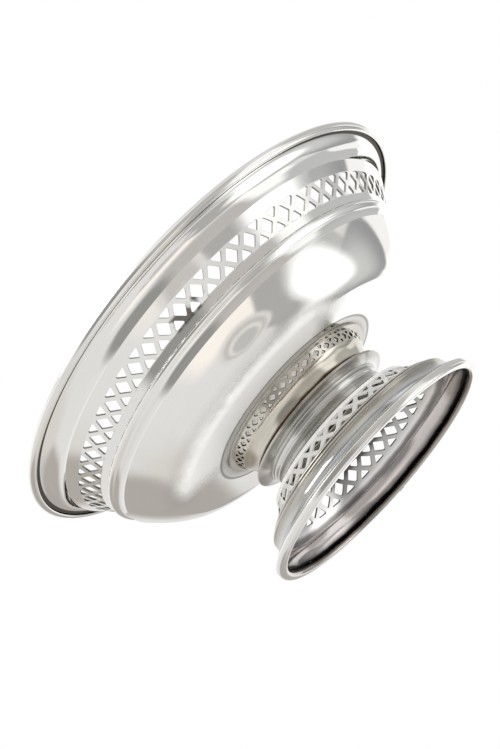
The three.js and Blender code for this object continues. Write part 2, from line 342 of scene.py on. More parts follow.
def hole_outline(corners, rounding):
    """A hole's outline with rounded corners, and the unit vectors that point from it into the metal."""
    points, normals, _ = rounded(corners, rounding, True, HOLE_CORNER_STEPS)
    outline, ways = [], []
    for i, (point, way) in enumerate(zip(points, normals)):
        after = (i + 1) % len(points)
        straight = np.allclose(way, normals[after])
        pieces = math.ceil(math.dist(point, points[after]) / HOLE_STEP) if straight else 1
        outline += [point + (points[after] - point) * k / pieces for k in range(pieces)]
        ways += [way] * pieces
    return np.array(outline), np.array(ways)


def inside(point, outline):
    """Whether a point lies in a convex outline that runs anticlockwise."""
    along = np.roll(outline, -1, 0) - outline
    away = point - outline
    return bool(np.all(along[:, 0] * away[:, 1] > along[:, 1] * away[:, 0]))


def lattice_period(lattice, pitch, slant):
    """One period of a lattice, laid flat and centred on a crossing: its holes as outlines with normals,
    and the points and triangles of the metal, which ends halfway across a diamond on each side."""
    wide, high = (size / 2 for size in lattice.diamond)
    base, rise = lattice.triangle[0] / 2, lattice.triangle[1]
    low, top = lattice.border, slant - lattice.border
    holes = [hole_outline(corners, lattice.rounding) for corners in (
        [(-base, low), (base, low), (0, low + rise)],
        [(0, top - rise), (base, top), (-base, top)],
        [(pitch / 2 - wide, slant / 2), (pitch / 2, slant / 2 - high),
         (pitch / 2 + wide, slant / 2), (pitch / 2, slant / 2 + high)],
    )]
    edges = [outline + HOLE_EDGE_ROUNDING * ways for outline, ways in holes]
    half = edges[2][edges[2][:, 0] < pitch / 2 + WELD]
    half = half[np.argsort(half[:, 1])]
    across = np.linspace(-0.5, 0.5, lattice.steps + 1) * pitch
    loops, points = [], []
    for line, ring in ((edges[0], True), (edges[1], True), (half, False), (half * (-1, 1), False)):
        start = len(points)
        points += line.tolist()
        loops += [(start + i, start + i + 1) for i in range(len(line) - 1)]
        if ring:
            loops.append((len(points) - 1, start))
    points += [(x, y) for x in across for y in (0, slant)]
    vectors = [Vector(p) * CDT_SCALE for p in points]
    found, _, triangles, *_ = delaunay_2d_cdt(vectors, loops, [], 0, CDT_SCALE * WELD / 10)
    flat = np.array([tuple(v / CDT_SCALE) for v in found])
    voids = [*edges, edges[2] - (pitch, 0)]
    metal = [tuple(t) for t in triangles if not any(inside(flat[list(t)].mean(0), hole) for hole in voids)]
    return holes, flat, metal


def add_band(skin, lattice, outer, inner):
    """A pierced band between its outer and inner line, each from foot to top: both faces of the lattice,
    and its holes with rounded edges."""
    outer, inner = np.array(outer), np.array(inner)
    pitch = math.pi * (outer[0][0] + outer[1][0]) / lattice.periods
    slant = math.dist(*outer)
    holes, flat, metal = lattice_period(lattice, pitch, slant)
    rise = (outer[1] - outer[0]) / slant
    out = -left_of(rise)
    edge = HOLE_EDGE_ROUNDING / math.dist(outer.mean(0), inner.mean(0))

    def place(points, depth, period):
        """Points of the period laid on the band, at a depth from 0 on its outer face to 1."""
        angles = lattice_angle(lattice, period + points[:, 0] / pitch)
        up = points[:, 1:] / slant
        line = (1 - depth) * outer + depth * inner
        section = line[0] + up * (line[1] - line[0])
        return turned(section[:, 0], section[:, 1], angles), angles

    for period in range(lattice.periods):
        for depth, side in ((0, out), (1, -out)):
            places, angles = place(flat, depth, period)
            faces = metal if depth == 0 else [face[::-1] for face in metal]
            skin.add(places, turned(side[0], side[1], angles), np.full(len(flat), FACE_RECESS), faces)
        for outline, ways in holes:
            wide = outline + HOLE_EDGE_ROUNDING * ways
            rings = (wide, 0, out), (outline, edge, None), (outline, 1 - edge, None), (wide, 1, -out)
            places, normals = [], []
            for points, depth, side in rings:
                there, angles = place(points, depth, period)
                places.append(there)
                if side is None:
                    up = -ways[:, 1:] * rise
                    normals.append(turned(up[:, 0], up[:, 1], angles, -ways[:, 0]))
                else:
                    normals.append(turned(side[0], side[1], angles))
            count = len(outline)
            after = np.roll(np.arange(count), -1)
            faces = [
                (ring + i, ring + after[i], ring + count + after[i], ring + count + i)
                for ring in (0, count, 2 * count) for i in range(count)
            ]
            recess = np.repeat((FACE_RECESS, WALL_RECESS, WALL_RECESS, FACE_RECESS), count)
            skin.add(np.vstack(places), np.vstack(normals), recess, faces)


# A piece's half section. Outer and inner are the foot and top of its pierced band on both faces. The
# path is closed, unless it starts and ends on the axis.
Section = namedtuple("Section", "name path lattice slot outer inner closed", defaults=(None, None, True))
Traced = namedtuple("Traced", "path points normals sources")


def trace(section):
    """The section with rounded corners and short steps."""
    whole = []
    if section.outer:
        whole = [(section.outer[0], section.outer[1]), (section.inner[1], section.inner[0])]
    path = [*section.path, section.path[0]] if section.closed else section.path
    path = divided(path, LONGEST_STEP, whole)
    if section.closed:
        path.pop()
    return Traced(path, *rounded(path, CORNER_RADIUS, section.closed))


def recesses(points, normals, all_points, all_normals):
    """How much of what a point faces lies close in front of it: 0 in the open, towards 1 in a groove."""
    values = []
    for point, normal in zip(points, normals):
        way = all_points - point
        far = np.maximum(np.linalg.norm(way, axis=1), WELD)
        rise = np.maximum(way @ normal, 0) / far
        seen = (way * all_normals).sum(1) < 0
        weight = np.exp(-((far / RECESS_REACH) ** 2))
        values.append((weight * rise * seen).sum() / weight.sum())
    return np.array(values)


def build(section, traced, recess):
    """The piece's object, which stands for the CAD node of the same name."""
    skin = Skin()
    points, normals = traced.points, traced.normals
    cuts = []
    if section.outer:
        for start, end in ((section.outer[0], section.outer[1]), (section.inner[1], section.inner[0])):
            leaves = next(i for i, p in enumerate(traced.path) if np.allclose(p, start))
            meets = next(i for i, p in enumerate(traced.path) if np.allclose(p, end))
            stop = np.flatnonzero(traced.sources == leaves)[-1]
            go = np.flatnonzero(traced.sources == meets)[0]
            normals[[stop, go]] = -left_of(points[go] - points[stop])
            cuts.append((stop, go))
        add_band(skin, section.lattice, points[list(cuts[0])], points[[cuts[1][1], cuts[1][0]]])
    order = list(range(len(points)))
    if section.closed:
        first = cuts[-1][1] if cuts else 0
        order = order[first:] + order[:first] + ([] if cuts else [first])
    stops = {stop for stop, _ in cuts}
    goes = {go for _, go in cuts}
    run = []
    for i in order:
        if i in goes:
            run = []
        run.append(i)
        if i in stops or i == order[-1] and i not in goes:
            add_turned(skin, points[run], normals[run], recess[run], section.lattice)
    made = bpy.data.objects.new(section.name + "_surface", skin.mesh(section.name))
    bpy.context.scene.collection.objects.link(made)
    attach(made, "root")
    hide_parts(section.name)
    return made


def foot_sections():
    """The foot and its wire."""
    inner_edge = FOOT_RADIUS - FOOT_WIRE_WIDTH
    low, high = FOOT_WIRE_FOOT_ROUNDING, FOOT_WIRE_TOP_ROUNDING
    wire = [
        *arc((inner_edge + low, low), (low, low), -2, -1, MOULDING_STEPS),
        *arc((FOOT_RADIUS - low, low), (low, low), -1, 0, MOULDING_STEPS),
        *arc((FOOT_RADIUS - high, FOOT_WIRE_TOP - high), (high, high), 0, 1, MOULDING_STEPS),
        *arc((inner_edge + high, FOOT_WIRE_TOP - high), (high, high), 1, 2, MOULDING_STEPS),
    ]
    reeds_foot = (FOOT_EDGE_RADIUS - FOOT_CAVETTO_REACH, FOOT_WIRE_TOP + FOOT_CAVETTO_RISE)
    cavetto = sagging((FOOT_EDGE_RADIUS, FOOT_WIRE_TOP), reeds_foot, FOOT_CAVETTO_DEPTH, MOULDING_STEPS)
    reeds = []
    for share in REED_SHARES:
        centre = (reeds_foot[0] - FOOT_REEDS_REACH * share, reeds_foot[1] + FOOT_REEDS_RISE * share)
        reeds += arc(centre, (FOOT_REED_RADIUS, FOOT_REED_RADIUS), *REED_ARC, MOULDING_STEPS)
    band_foot = (reeds_foot[0] - FOOT_REEDS_REACH, reeds_foot[1] + FOOT_REEDS_RISE)
    band_top = (band_foot[0] - FOOT_BAND_TAPER, band_foot[1] + FOOT_BAND_RISE)
    ledge_top = band_top[1] + FOOT_LEDGE_RISE
    waist = (band_top[0] - NECK_FLARE_REACH, ledge_top + NECK_FLARE_RISE)
    flare = sagging((band_top[0], ledge_top), waist, NECK_FLARE_DEPTH, MOULDING_STEPS)
    ridge = (waist[0] + NECK_RIDGE_REACH, waist[1] + NECK_RIDGE_RISE)
    groove = (ridge[0] - NECK_GROOVE_DEPTH, ridge[1] + NECK_GROOVE_RISE)
    shoulder = (groove[0] + NECK_SHOULDER_REACH, groove[1] + NECK_SHOULDER_RISE)
    disc_radius = shoulder[0] + DISC_OVERHANG
    disc_underside = (disc_radius, DISC_TOP - DISC_EDGE)
    neck = softened([flare[NECK_START], waist, ridge, groove, shoulder, disc_underside], NECK_STEPS)
    bore = waist[0] - FOOT_SHEET
    within = offset([*cavetto, band_foot, band_top, *flare], FOOT_SHEET)
    within[0] = np.array([FOOT_EDGE_RADIUS - FOOT_SHEET, FOOT_WIRE_TOP])
    inner_foot = len(cavetto)
    path = [
        *cavetto, *reeds, band_foot, band_top, (band_top[0] + FOOT_LEDGE_OVERHANG, ledge_top),
        *flare[:NECK_START], *neck, (disc_radius, DISC_TOP), (bore, DISC_TOP), *within[::-1],
    ]
    foot = Section("foot", path, FOOT_BAND, SILVER, (band_foot, band_top),
                   (within[inner_foot], within[inner_foot + 1]))
    solder = fillet("foot_wire_solder", (FOOT_EDGE_RADIUS + FIT_GAP, FOOT_WIRE_TOP),
                    (SOLDER_LEG, SOLDER_LEG), FOOT_BAND)
    return [Section("foot_rim_wire", wire, FOOT_BAND, SILVER), foot, solder], disc_radius


def collar_sections(disc_radius):
    """The collar, with the solder at its foot and top."""
    foot = (disc_radius - COLLAR_FOOT_INSET, DISC_TOP)
    waist = (foot[0] - COLLAR_WAIST_DEPTH, foot[1] + COLLAR_WAIST_RISE)
    band_foot = (waist[0] + COLLAR_WALL_REACH, waist[1] + COLLAR_WALL_RISE)
    band_top = (band_foot[0] + COLLAR_BAND_TAPER, band_foot[1] + COLLAR_BAND_RISE)
    wall = sagging(waist, band_foot, COLLAR_WALL_DEPTH, MOULDING_STEPS)
    within = offset([foot, *wall, band_top], COLLAR_SHEET)
    within[0] = np.array([foot[0] - COLLAR_SHEET, DISC_TOP])
    flange = [(FLANGE_RADIUS, BOWL_UNDERSIDE - COLLAR_SHEET), (FLANGE_RADIUS, BOWL_UNDERSIDE)]
    path = [foot, *wall, band_top, *flange, (within[-1][0], BOWL_UNDERSIDE), *within[::-1]]
    return [
        Section("pierced_collar", path, COLLAR_BAND, SILVER, (band_foot, band_top), (within[-2], within[-1])),
        fillet("collar_top_solder", (band_top[0] - COLLAR_SHEET - FIT_GAP, BOWL_UNDERSIDE),
               (-SOLDER_LEG, -SOLDER_LEG), COLLAR_BAND),
        fillet("collar_foot_solder", (foot[0] - COLLAR_SHEET - FIT_GAP, DISC_TOP),
               (-SOLDER_LEG, SOLDER_LEG), COLLAR_BAND),
    ]


def bowl_sections():
    """The bowl, its rim wire and the solder inside the rim."""
    wire = RIM_WIRE / 2
    wire_centre = RIM_RADIUS - wire
    wire_inside = wire_centre - wire
    lip_radius = wire_inside + RIM_LIP
    lip_underside = RIM_HEIGHT - BOWL_SHEET
    crease = (wire_inside - FLARE_REACH, lip_underside - FLARE_RISE)
    band_top = (crease[0] - CREASE_REACH, crease[1] - CREASE_RISE)
    band_foot = (band_top[0] - GALLERY_TAPER, band_top[1] - GALLERY_RISE)
    throat = (band_foot[0] - SILL_REACH, band_foot[1] - SILL_RISE)
    bead_centre = (throat[0] - BEAD_INSET, throat[1] - THROAT_RISE - BEAD_RADIUS)
    cavetto_centre = (bead_centre[0] + CAVETTO_OVERHANG, bead_centre[1] - BEAD_RADIUS - CAVETTO_RISE)
    shoulder = (cavetto_centre[0] - CAVETTO_REACH, cavetto_centre[1])
    flat = FLANGE_RADIUS + FLAT_REACH
    body = bend((flat, BOWL_UNDERSIDE), (flat + BODY_CORNER_REACH, BOWL_UNDERSIDE), shoulder, BODY_STEPS)
    cavetto = arc(cavetto_centre, (CAVETTO_REACH, CAVETTO_RISE), 2, 1, MOULDING_STEPS)
    bead = arc(bead_centre, (BEAD_RADIUS, BEAD_RADIUS), *BEAD_ARC, BEAD_STEPS)
    flare = arc((wire_inside, crease[1]), (FLARE_REACH, FLARE_RISE), 2, 1, MOULDING_STEPS)
    lip = (lip_radius - FIT_GAP, lip_underside)
    outside = [(0, BOWL_UNDERSIDE), *body, *cavetto[1:-1], *bead, throat,
               band_foot, band_top, *flare, lip]
    within = offset(outside, BOWL_SHEET)
    inner_foot = len(outside) - len(flare) - 3
    bowl = Section("bowl", outside + within[::-1], GALLERY, SILVER, (band_foot, band_top),
                   (within[inner_foot], within[inner_foot + 1]), False)
    to_wall = math.acos((lip_radius - wire_centre) / wire) / (math.pi / 2)
    round_wire = arc((wire_centre, RIM_HEIGHT), (wire, wire), -to_wall, 2, WIRE_STEPS)
    return [
        bowl,
        Section("bowl_rim_wire", [(lip_radius, RIM_HEIGHT), *round_wire], GALLERY, SILVER),
        fillet("rim_wire_solder", (wire_inside - FIT_GAP, RIM_HEIGHT), (-RIM_SOLDER_LEG, RIM_SOLDER_LEG),
               GALLERY),
    ]


def fillet(name, corner, legs, lattice):
    """A fillet of solder with a hollow face, in a corner from which its legs run."""
    along = (corner[0] + legs[0], corner[1])
    up = (corner[0], corner[1] + legs[1])
    turn = 1 if legs[0] * legs[1] > 0 else -1
    face = sagging(along, up, turn * math.dist(along, up) * SOLDER_HOLLOW, MOULDING_STEPS)
    path = [corner, *face]
    return Section(name, path[::turn], lattice, SOLDER)


def build_dish():
    """Every piece, each with its own surface."""
    feet, disc_radius = foot_sections()
    sections = [*bowl_sections(), *collar_sections(disc_radius), *feet]
    traces = [trace(section) for section in sections]
    all_points = np.vstack([traced.points for traced in traces])
    all_normals = np.vstack([traced.normals for traced in traces])
    made = {}
    for section, traced in zip(sections, traces):
        recess = recesses(traced.points, traced.normals, all_points, all_normals)
        made[section.name] = build(section, traced, recess)
    return made


def add_camera():
    """The photograph's camera. It looks up at the dish from below, and is rolled."""
    back = Vector((0, -math.cos(VIEW_ELEVATION), math.sin(VIEW_ELEVATION)))
    level = Vector((1, 0, 0))
    rise = back.cross(level)
    right = math.cos(VIEW_ROLL) * level + math.sin(VIEW_ROLL) * rise
    up = -math.sin(VIEW_ROLL) * level + math.cos(VIEW_ROLL) * rise
    place = right * VIEW_SHIFT[0] + up * VIEW_SHIFT[1] + back * VIEW_DISTANCE
    place.z += RIM_HEIGHT
    camera = bpy.data.objects.new("camera", bpy.data.cameras.new("camera"))
    camera.matrix_world = Matrix.Translation(place) @ Matrix((right, up, back)).transposed().to_4x4()
    camera.data.sensor_width = SENSOR
    camera.data.lens = FOCAL_PIXELS * SENSOR / PHOTO_HEIGHT
    camera.data.clip_start = VIEW_DISTANCE / 100
    bpy.context.scene.collection.objects.link(camera)
    bpy.context.scene.camera = camera


class Nodes:
    """A node tree that is written as nested calls."""

    def __init__(self, tree):
        self.tree = tree
        tree.nodes.clear()

    def add(self, kind, values=(), output=0, **settings):
        """Adds a node. Values maps its inputs to numbers or to other nodes' outputs."""
        node = self.tree.nodes.new(kind)
        for name, value in settings.items():
            setattr(node, name, value)
        for name, value in dict(values).items():
            socket = node.inputs[name]
            if isinstance(value, bpy.types.NodeSocket):
                self.tree.links.new(value, socket)
            else:
                socket.default_value = value
        return node.outputs[output]

    def math(self, operation, *values, clamp=False):
        """The result of a math operation."""
        return self.add("ShaderNodeMath", enumerate(values), operation=operation, use_clamp=clamp)

    def product(self, first, *others):
        """The product of two values or more."""
        for value in others:
            first = self.math("MULTIPLY", first, value)
        return first

    def ease(self, value, low, high):
        """From 0 at low to 1 at high, with soft ends. Low may be the larger of the two."""
        values = {"Value": value, "From Min": low, "From Max": high}
        return self.add("ShaderNodeMapRange", values, interpolation_type="SMOOTHSTEP")

    def mix(self, share, low, high, how="MIX"):
        """A colour between two colours, or the first one changed by the second."""
        return self.add("ShaderNodeMix", {0: share, 6: low, 7: high}, 2, data_type="RGBA", blend_type=how)

    def split(self, vector):
        """The three parts of a vector."""
        node = self.tree.nodes.new("ShaderNodeSeparateXYZ")
        self.tree.links.new(vector, node.inputs[0])
        return node.outputs

    def ramp(self, value, stops):
        """A colour that changes with a value, through stops of a value and a colour."""
        node = self.tree.nodes.new("ShaderNodeValToRGB")
        elements = node.color_ramp.elements
        elements.remove(elements[-1])
        low, high = stops[0][0], stops[-1][0]
        share = self.math("DIVIDE", self.math("SUBTRACT", value, low), high - low)
        self.tree.links.new(share, node.inputs[0])
        elements[0].position, elements[0].color = 0, stops[0][1]
        for level, tint in stops[1:]:
            elements.new((level - low) / (high - low)).color = tint
        return node.outputs[0]

    def finish(self, kind, surface):
        """Puts a shader on the tree's output."""
        self.tree.links.new(surface, self.tree.nodes.new(kind).inputs["Surface"])


def linear(grey, warmth=0.0):
    """The linear colour of a grey as it looks on a screen, made warmer or, below 0, cooler."""
    shown = (grey + warmth / 2, grey, grey - warmth / 2)
    return (*(c / 12.92 if c < 0.04 else ((c + 0.055) / 1.055) ** 2.4 for c in shown), 1)


# Cards and screens round the dish, which its silver reflects. Each has the azimuth and elevation of its
# middle and half its width and height in degrees, a squareness from 2, an ellipse, up, the softness of
# its edge as a share of its size, and its grey and warmth. A later one lies in front of an earlier one.
Card = namedtuple("Card", "azimuth elevation wide high square soft grey warmth")
STUDIO_GREY = (0.88, 0.005)
CARDS = (
    Card(190, 62, 115, 44, 6, 0.2, 1.0, 0.0),
    Card(225, 50, 50, 16, 2.4, 0.6, 0.8, 0.0),
    Card(30, 60, 50, 14, 2.4, 0.6, 0.82, 0.0),
    Card(294, -4, 38, 36, 4, 0.25, 0.73, 0.02),
    Card(248, 0, 24, 32, 2.6, 0.3, 0.58, 0.01),
    Card(272, -56, 44, 9, 3, 0.35, 0.97, 0.05),
    Card(130, -40, 34, 12, 3, 0.5, 0.83, 0.03),
    Card(135, -16, 17, 15, 3, 0.35, 0.68, 0.05),
    Card(130, -14, 26, 17, 3, 0.35, 0.67, 0.04),
    Card(107, -14, 13, 7.5, 5, 0.04, 0.66, 0.04),
    Card(345, -20, 18, 27, 4, 0.25, 1.02, 0.0),
    Card(22, 8, 32, 28, 4, 0.15, 0.75, 0.0),
    Card(72, -2, 20.2, 26, 5, 0.04, 1.03, 0.0),
    Card(43, -12.5, 15, 7.5, 3, 0.15, 0.97, 0.01),
    Card(352, -58, 48, 15.5, 4, 0.05, 0.68, 0.01),
    Card(10, -48, 32, 17, 3, 0.05, 0.74, 0.0),
    Card(66, -42, 25, 19.5, 4, 0.04, 0.62, -0.01),
    Card(46, -40, 28, 23, 2.6, 0.04, 0.6, -0.01),
    Card(48, -43, 30, 17, 2.6, 0.45, 0.8, 0.0),
    Card(20, -50.5, 38, 11.5, 2.6, 0.4, 1.22, 0.0),
    Card(10, -71, 54, 6, 4, 0.15, 0.68, 0.01),
    Card(284, -73, 46, 11, 2, 0.08, 0.86, 0.02),
    Card(284, -73, 38, 9, 2, 0.08, 0.76, 0.02),
    Card(284, -73.5, 30, 7, 2, 0.1, 0.88, 0.02),
    Card(284, -74, 24, 5.5, 2, 0.12, 0.75, 0.0),
)

# What reaches dull surfaces, from above and from the white table below
PLAIN_LIGHT = (1, 1, 1, 1)
TABLE_LIGHT = (1.5, 1.5, 1.5, 1)
WHITE = (1, 1, 1, 1)


def add_world():
    """The studio: white to the camera, plain with a white table below to what is dull, and pale with
    cards to the metal."""
    world = bpy.data.worlds.new("studio")
    bpy.context.scene.world = world
    world.use_nodes = True
    nodes = Nodes(world.node_tree)
    ray = nodes.tree.nodes.new("ShaderNodeLightPath").outputs
    way_x, way_y, way_z = nodes.split(nodes.add("ShaderNodeTexCoord"))
    azimuth = nodes.math("DEGREES", nodes.math("ARCTAN2", way_y, way_x))
    elevation = nodes.math("DEGREES", nodes.math("ARCSINE", way_z))
    studio = linear(*STUDIO_GREY)
    for card in CARDS:
        across = nodes.math("WRAP", nodes.math("SUBTRACT", azimuth, card.azimuth), 180, -180)
        up = nodes.math("SUBTRACT", elevation, card.elevation)
        parts = [
            nodes.math("POWER", nodes.math("ABSOLUTE", nodes.math("DIVIDE", part, half)), card.square)
            for part, half in ((across, card.wide), (up, card.high))
        ]
        far = nodes.math("POWER", nodes.math("ADD", *parts), 1 / card.square)
        cover = nodes.ease(far, 1 + card.soft, 1 - card.soft)
        studio = nodes.mix(cover, studio, linear(card.grey, card.warmth))
    low = nodes.math("LESS_THAN", elevation, 0)
    plain = nodes.mix(low, PLAIN_LIGHT, TABLE_LIGHT)
    plain = nodes.mix(ray["Is Camera Ray"], plain, WHITE)
    metal = nodes.math("MAXIMUM", ray["Is Glossy Ray"], ray["Is Transmission Ray"])
    light = nodes.add("ShaderNodeBackground", {"Color": nodes.mix(metal, plain, studio)})
    nodes.finish("ShaderNodeOutputWorld", light)


def add_floor():
    """A pale floor that keeps the shadow. The photograph looks at the dish from below, so the floor is
    clear to the camera from there. The dish doesn't see the floor, only the studio."""
    bpy.ops.mesh.primitive_plane_add(size=FLOOR_SIZE)
    floor = bpy.context.object
    floor.name = "floor"
    floor.visible_glossy = False
    floor.visible_diffuse = False
    material = bpy.data.materials.new("floor")
    material.use_nodes = True
    nodes = Nodes(material.node_tree)
    ray = nodes.tree.nodes.new("ShaderNodeLightPath")
    side = nodes.tree.nodes.new("ShaderNodeNewGeometry")
    paint = nodes.add("ShaderNodeBsdfDiffuse", {"Color": FLOOR_COLOUR})
    clear = nodes.add("ShaderNodeBsdfTransparent")
    hidden = nodes.product(ray.outputs["Is Camera Ray"], side.outputs["Backfacing"])
    surface = nodes.add("ShaderNodeMixShader", {0: hidden, 1: paint, 2: clear})
    nodes.finish("ShaderNodeOutputMaterial", surface)
    floor.data.materials.append(material)


def add_lamp():
    """A large soft lamp over the dish, which gives the floor its shadow."""
    lamp = bpy.data.lights.new("overhead", "AREA")
    lamp.size = LAMP_SIZE
    lamp.energy = LAMP_POWER
    made = bpy.data.objects.new("overhead", lamp)
    made.location = LAMP_PLACE
    made.rotation_euler = (-Vector(LAMP_PLACE)).to_track_quat("-Z", "Y").to_euler()
    bpy.context.scene.collection.objects.link(made)


# Painted shade and painted reflections inside the foot and the collar, by height: the colour that the metal
# has there
FOOT_INSIDE_SHADE_AND_REFLECTION = (
    (0.0, (0.62, 0.57, 0.52, 1)), (0.0009, (0.3, 0.27, 0.24, 1)), (0.0012, (0.012, 0.01, 0.009, 1)),
    (0.0021, (0.012, 0.01, 0.01, 1)), (0.0034, (0.66, 0.62, 0.6, 1)), (0.0056, (0.78, 0.74, 0.73, 1)),
    (0.0061, (0.2, 0.19, 0.19, 1)), (0.0067, (0.28, 0.27, 0.26, 1)), (0.0073, (0.9, 0.88, 0.88, 1)),
    (0.0085, (0.62, 0.61, 0.6, 1)), (0.0108, (0.46, 0.45, 0.44, 1)), (0.0118, (0.15, 0.14, 0.14, 1)),
    (0.0134, (0.1, 0.09, 0.09, 1)), (0.0146, (0.3, 0.29, 0.27, 1)),
)
# Inside the collar, black at its foot on the plate: painted shade
COLLAR_INSIDE_SHADE = (
    (DISC_TOP, (0.02, 0.016, 0.012, 1)), (DISC_TOP + 0.001, (0.03, 0.025, 0.02, 1)),
    (DISC_TOP + 0.002, (0.95, 0.94, 0.91, 1)), (BOWL_UNDERSIDE, (0.95, 0.94, 0.91, 1)),
)

# Tints on the outside, by height. On the foot they are darker, cooler bands: painted shade and painted
# reflections.
# Tints and the painted inside wander up and down a little.
CLEAR = (1, 1, 1, 1)
FOOT_OUTSIDE_SHADE_BANDS = (
    (FOOT_WIRE_TOP, (0.6, 0.64, 0.7, 1)), (0.0034, (0.46, 0.49, 0.55, 1)), (0.0044, (0.62, 0.61, 0.58, 1)),
    (0.006, (0.5, 0.48, 0.44, 1)), (0.0082, (0.72, 0.7, 0.66, 1)), (0.0086, CLEAR), (0.0136, CLEAR),
    (0.0146, (0.86, 0.86, 0.85, 1)), (DISC_TOP - 0.0012, (0.86, 0.86, 0.84, 1)),
    (DISC_TOP - 0.0007, (0.6, 0.58, 0.54, 1)), (DISC_TOP, (0.7, 0.68, 0.64, 1)),
)
# A dark brown band at the collar's foot: tarnish at the joint, and painted shade in the recess over the plate
COLLAR_FOOT_TARNISH_AND_SHADE = (
    (DISC_TOP, (0.06, 0.04, 0.025, 1)), (DISC_TOP + 0.0011, (0.08, 0.055, 0.035, 1)),
    (DISC_TOP + 0.0016, CLEAR), (BOWL_UNDERSIDE, CLEAR),
)
TINT_WANDER = 0.0007
OUTSIDE_FACING = (-0.1, 0.1)
INSIDE_FACING = (-0.1, -0.3)
# Where the painted inside goes from this grey to black, it is rougher
PAINTED_DARK_RANGE = (0.2, 0.02)

# How a piece is finished: the colour of its metal where it is clean and where it is dull, its roughness,
# how dark its recesses are, from 0 to 1, how much of its face is dulled, how high its polishing lines
# stand, how much its surface waves, its painted shade and reflections inside and its tints outside,
# whether it has the bowl's marks, tarnish with painted shade and reflection, and whether a pale coat
# lies on the bars of its lattice rather than as a painted glow round the joint.
Finish = namedtuple(
    "Finish", "clean dull roughness tarnish dulled lines wave inside outside bowl bars",
    defaults=(None, None, False, False))
WIRE_FINISH = Finish((0.955, 0.945, 0.92), (0.8, 0.78, 0.73), 0.1, 0.9, 0.35, 0.05, 0.00004)
SOLDER_FINISH = Finish((0.6, 0.58, 0.53), (0.4, 0.38, 0.34), 0.32, 0.9, 0.8, 0.2, 0.00004)
FINISHES = {
    "bowl": Finish(
        (0.975, 0.97, 0.945), (0.88, 0.872, 0.835), 0.05, 0.75, 0.25, 0.12, 0.00004, bowl=True),
    "bowl_rim_wire": WIRE_FINISH,
    # The collar's silver is darker and warmer than the rest: painted shade
    "pierced_collar": Finish(
        (0.8, 0.765, 0.67), (0.5, 0.46, 0.38), 0.1, 0.95, 0.6, 0.6, 0.00008, COLLAR_INSIDE_SHADE, COLLAR_FOOT_TARNISH_AND_SHADE),
    "foot": Finish(
        (0.965, 0.96, 0.95), (0.72, 0.71, 0.69), 0.11, 0.8, 0.45, 0.5, 0.00008, FOOT_INSIDE_SHADE_AND_REFLECTION, FOOT_OUTSIDE_SHADE_BANDS,
        bars=True),
    "foot_rim_wire": WIRE_FINISH._replace(inside=FOOT_INSIDE_SHADE_AND_REFLECTION),
}

# Noises. Where low and high are given, the noise is eased between them into patches.
Noise = namedtuple("Noise", "scale detail low high roughness distortion", defaults=(0, 1, 0.5, 0.0))
CLOUDS = Noise(48, 5, 0.42, 0.72, 0.6)
STREAKS = Noise(900, 4, 0.35, 0.7)
SPECKS = Noise(1400, 2, 0.68, 0.76)
BLOTCHES = Noise(300, 3, 0.4, 0.54)
RECESS_UNEVENNESS = Noise(420, 4)
WANDER = Noise(160, 3)
RESIDUE = Noise(220, 5, roughness=0.6)
BUFFING = Noise(5200, 3)
WAVES = Noise(38, 2)
DENTS = Noise(150, 1)

# Scratches: for a coarse and a fine set the scale, how thin they are, and how much of a face they leave out
COARSE_SCRATCHES = (110, 0.0035, 0.5)
FINE_SCRATCHES = (330, 0.006, 0.55)
SCRATCH_WANDER = 0.8
SCRATCH_PATCHES = 1.7
SCRATCH_FADE = 0.05

# The colour of tarnish, which also paints shade, and how strongly recesses, streaks, specks and the rest
# show in colour and roughness
TARNISH_AND_SHADE = (0.07, 0.055, 0.04, 1)
RECESS_RANGE = (0.07, 0.2)
RECESS_SHARE = 0.9
RECESS_LEAST = 0.55
STREAK_SHARE = 0.45
SPECK_COVER = 0.35
DULL_ROUGHNESS = 0.12
SCRATCH_ROUGHNESS = 0.1
TARNISH_ROUGHNESS = 0.3
PAINTED_DARK_ROUGHNESS = 0.45
PALE_COAT_ROUGHNESS = 0.4

# Relief in metres. Lines from the buff run round the axis, so they hardly change with the angle.
AROUND_STRETCH = 0.002
DENT_DEPTH = 0.000009
LINE_HEIGHT = 0.0000009
SCRATCH_DEPTH = 0.000001
SPECK_DEPTH = 0.0000003

# Black where the rim's wire takes the bowl's lip: tarnish with painted shade. A black patch on the gallery is
# a painted dark reflection.
WIRE_INSIDE = RIM_RADIUS - RIM_WIRE
SEAM_WIDTH = 0.0004
SEAM_FADE = 0.0002
GALLERY_FOOT = RIM_HEIGHT - BOWL_SHEET - FLARE_RISE - CREASE_RISE - GALLERY_RISE
PATCH_SIDE = math.radians(-92)
PATCH_HALF_TURN = math.radians(4.5)
PATCH_SPREAD = 1.6
PATCH_RISE = 0.0028
PATCH_FADE = 0.0008
PATCH_COVER = 0.85

# Painted marks at the joint of collar and bowl lie on what faces down, close to the bowl's underside.
# Outwards they are measured from the edge of the collar's flange.
DOWN_FACING = (-0.3, -0.6)
JOINT_START = BOWL_UNDERSIDE - 0.0012
JOINT_FULL = BOWL_UNDERSIDE - 0.0002
COLLAR_SIDE = (-0.004, -0.003)
# A grey ring beside the flange: painted reflection of a wider flange, with a painted shadow line at its edge
FLANGE_REFLECTION_GREY = (0.5, 0.49, 0.47, 1)
RING_WIDTH = 0.0024
RING_FADE = 0.0003
RING_COVER = 0.8
RING_EDGE = 0.0005
RING_EDGE_COVER = 0.6

